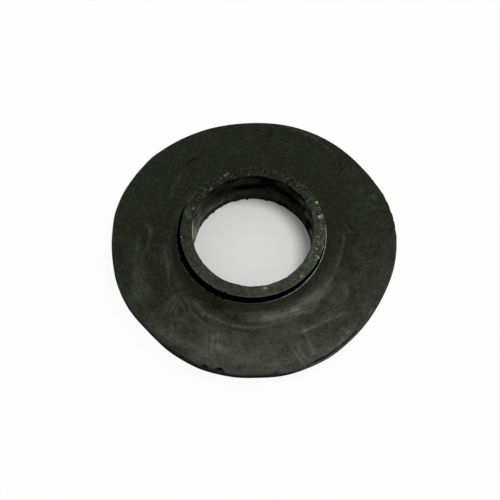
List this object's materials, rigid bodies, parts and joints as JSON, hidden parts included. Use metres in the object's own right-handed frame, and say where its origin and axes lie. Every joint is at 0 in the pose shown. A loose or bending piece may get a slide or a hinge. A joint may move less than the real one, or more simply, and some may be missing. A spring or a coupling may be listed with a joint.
{
  "type": "flush valve gasket",
  "caption": "Moulded black rubber gasket for a cistern flush valve: a wide dished flange round a raised collar with an undercut groove and a plain through bore.",
  "frame": {"origin": "at the middle of the flange, 0.3 mm from the bore's axis, level with the flat seat on the underside that the gasket rests on", "axes": "+Z along the bore, from the seat towards the collar's top face; +X and +Y across the flange, with the collar leaning slightly towards +X"},
  "size_m": [0.08, 0.08, 0.0135],
  "materials": {
    "rubber": "matt moulded black rubber with pale bloom and scuffs"
  },
  "bodies": {
    "root": {"gasket": "rubber"}
  },
  "joints": []
}
